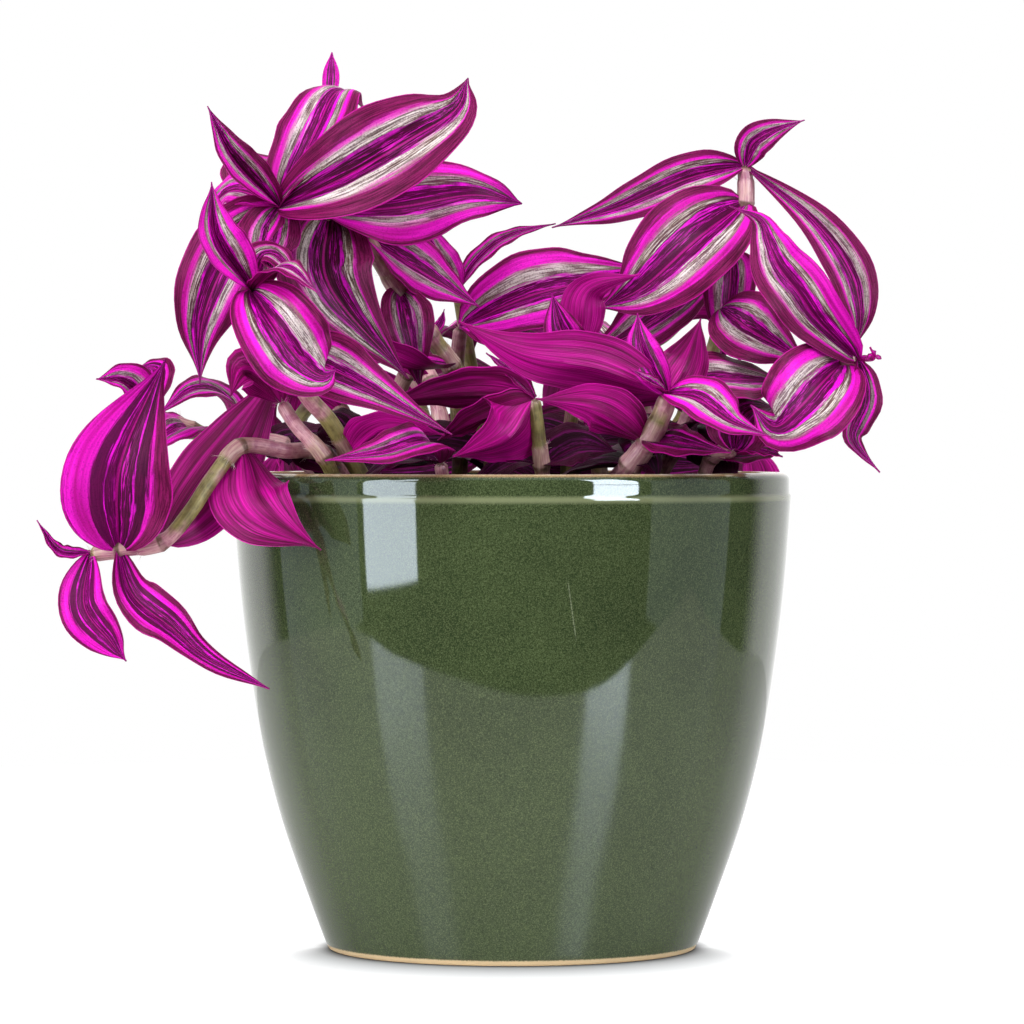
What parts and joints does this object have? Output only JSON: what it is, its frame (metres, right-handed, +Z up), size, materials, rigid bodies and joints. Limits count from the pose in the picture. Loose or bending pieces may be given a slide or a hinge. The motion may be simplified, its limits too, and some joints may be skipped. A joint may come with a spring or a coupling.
{
  "type": "potted tradescantia",
  "caption": "House plant with arching, trailing leafy stems of striped, purple-backed leaves, growing in soil in a round glazed ceramic pot.",
  "frame": {"origin": "centre of the pot's flat foot", "axes": "+Z up along the pot's axis, -Y towards the front that the picture shows"},
  "size_m": [0.2055, 0.2086, 0.2236],
  "materials": {
    "pot_glaze": "glazed",
    "soil": "crumbly",
    "leaves": "satin"
  },
  "bodies": {
    "root": {"pot": "pot_glaze", "soil": "soil", "shoot_left_trailing": "leaves", "shoot_left_front": "leaves", "shoot_left_tall": "leaves", "shoot_right_tall": "leaves", "shoot_right_hanging": "leaves", "shoot_right_front": "leaves", "shoot_centre_front": "leaves", "shoot_centre_upright": "leaves", "shoot_right_inner": "leaves", "shoot_centre_back": "leaves", "shoot_back_slender": "leaves", "shoot_left_back": "leaves", "shoot_left_short": "leaves", "shoot_right_low": "leaves", "shoot_front_low": "leaves", "shoot_back_1": "leaves", "shoot_back_2": "leaves", "shoot_back_3": "leaves", "shoot_back_4": "leaves", "shoot_back_5": "leaves", "shoot_back_inner_1": "leaves", "shoot_back_inner_2": "leaves"}
  },
  "joints": []
}
